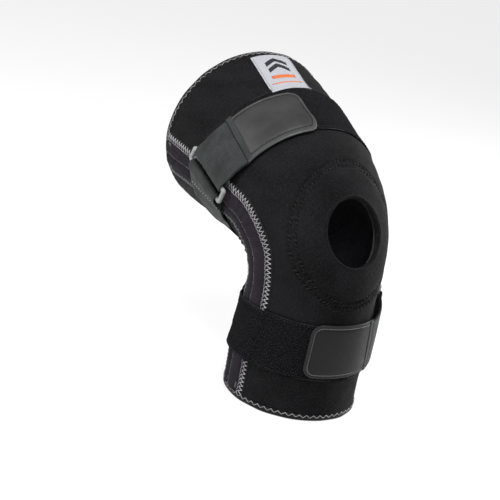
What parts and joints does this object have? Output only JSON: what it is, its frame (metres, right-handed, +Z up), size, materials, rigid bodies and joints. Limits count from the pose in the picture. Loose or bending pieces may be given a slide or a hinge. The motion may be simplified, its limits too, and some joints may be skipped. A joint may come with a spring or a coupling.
{
  "type": "knee brace",
  "caption": "Bent open-patella sleeve knee brace with spiral side stays, a kneecap pad, and two ring-and-tab straps above and below the knee.",
  "frame": {"origin": "centre of the calf hem's opening, where the leg comes out", "axes": "+Z up the calf towards the knee, -Y to the front (kneecap side), +X to the inner side of the right leg"},
  "size_m": [0.1667, 0.2374, 0.2689],
  "materials": {
    "front_neoprene": "matte",
    "back_knit": "satin",
    "hem_tape": "matte",
    "loop_pile": "matte",
    "grey_webbing": "matte",
    "tab_vinyl": "satin",
    "hook_tape": "matte",
    "ring_plastic": "satin",
    "stay_steel": "satin",
    "cap_plastic": "matte",
    "pad_foam": "matte",
    "label_weave": "satin"
  },
  "bodies": {
    "calf": {"calf_front_panel": "front_neoprene", "knee_front_panel": "front_neoprene", "calf_back_panel": "back_knit", "knee_back_panel": "back_knit", "calf_hem_binding": "hem_tape", "outer_stay_strip": "back_knit", "inner_stay_strip": "back_knit", "outer_front_stay": "stay_steel", "outer_rear_stay": "stay_steel", "inner_front_stay": "stay_steel", "inner_rear_stay": "stay_steel", "calf_stay_caps": "cap_plastic", "kneecap_pad": "pad_foam", "opening_binding": "hem_tape", "lower_pile_band": "loop_pile", "lower_anchor_webbing": "grey_webbing"},
    "thigh": {"thigh_front_panel": "front_neoprene", "thigh_back_panel": "back_knit", "thigh_hem_binding": "hem_tape", "thigh_stay_caps": "cap_plastic", "upper_pile_band": "loop_pile", "upper_anchor_webbing": "grey_webbing", "label_patch": "label_weave"},
    "upper_ring_body": {"upper_ring": "ring_plastic"},
    "upper_webbing_body": {"upper_tab_webbing": "grey_webbing"},
    "upper_tab_body": {"upper_tab": "tab_vinyl", "upper_hook_patch": "hook_tape"},
    "lower_ring_body": {"lower_ring": "ring_plastic"},
    "lower_webbing_body": {"lower_tab_webbing": "grey_webbing"},
    "lower_tab_body": {"lower_tab": "tab_vinyl", "lower_hook_patch": "hook_tape"}
  },
  "joints": [
    {"name": "knee_flex", "type": "hinge", "parent": "calf", "child": "thigh", "pos_m": [0, 0.01089, 0.15085], "axis": [-1, 0, 0], "range_deg": [-79, 8], "deforming": ["knee_front_panel", "knee_back_panel", "kneecap_pad", "opening_binding", "outer_stay_strip", "inner_stay_strip", "outer_front_stay", "outer_rear_stay", "inner_front_stay", "inner_rear_stay"]},
    {"name": "upper_ring_swing", "type": "hinge", "parent": "thigh", "child": "upper_ring_body", "pos_m": [-0.07846, 0.07678, 0.1668], "axis": [0.1281, -0.9021, -0.4122], "range_deg": [0, 35]},
    {"name": "upper_webbing_swing", "type": "hinge", "parent": "upper_ring_body", "child": "upper_webbing_body", "pos_m": [-0.07883, 0.07176, 0.17769], "axis": [0.1281, -0.9021, -0.4122], "range_deg": [0, 100]},
    {"name": "upper_tab_peel", "type": "hinge", "parent": "upper_webbing_body", "child": "upper_tab_body", "pos_m": [-0.06579, 0.05841, 0.20842], "axis": [0.0168, -0.9119, -0.41], "range_deg": [0, 80]},
    {"name": "lower_ring_swing", "type": "hinge", "parent": "calf", "child": "lower_ring_body", "pos_m": [0.06369, 0.00355, 0.08], "axis": [-0.0387, -0.1817, 0.9826], "range_deg": [0, 35]},
    {"name": "lower_webbing_swing", "type": "hinge", "parent": "lower_ring_body", "child": "lower_webbing_body", "pos_m": [0.06327, -0.00824, 0.0778], "axis": [-0.0387, -0.1817, 0.9826], "range_deg": [0, 100]},
    {"name": "lower_tab_peel", "type": "hinge", "parent": "lower_webbing_body", "child": "lower_tab_body", "pos_m": [0.03601, -0.05068, 0.067], "axis": [-0.1232, -0.092, 0.9881], "range_deg": [0, 80]}
  ]
}
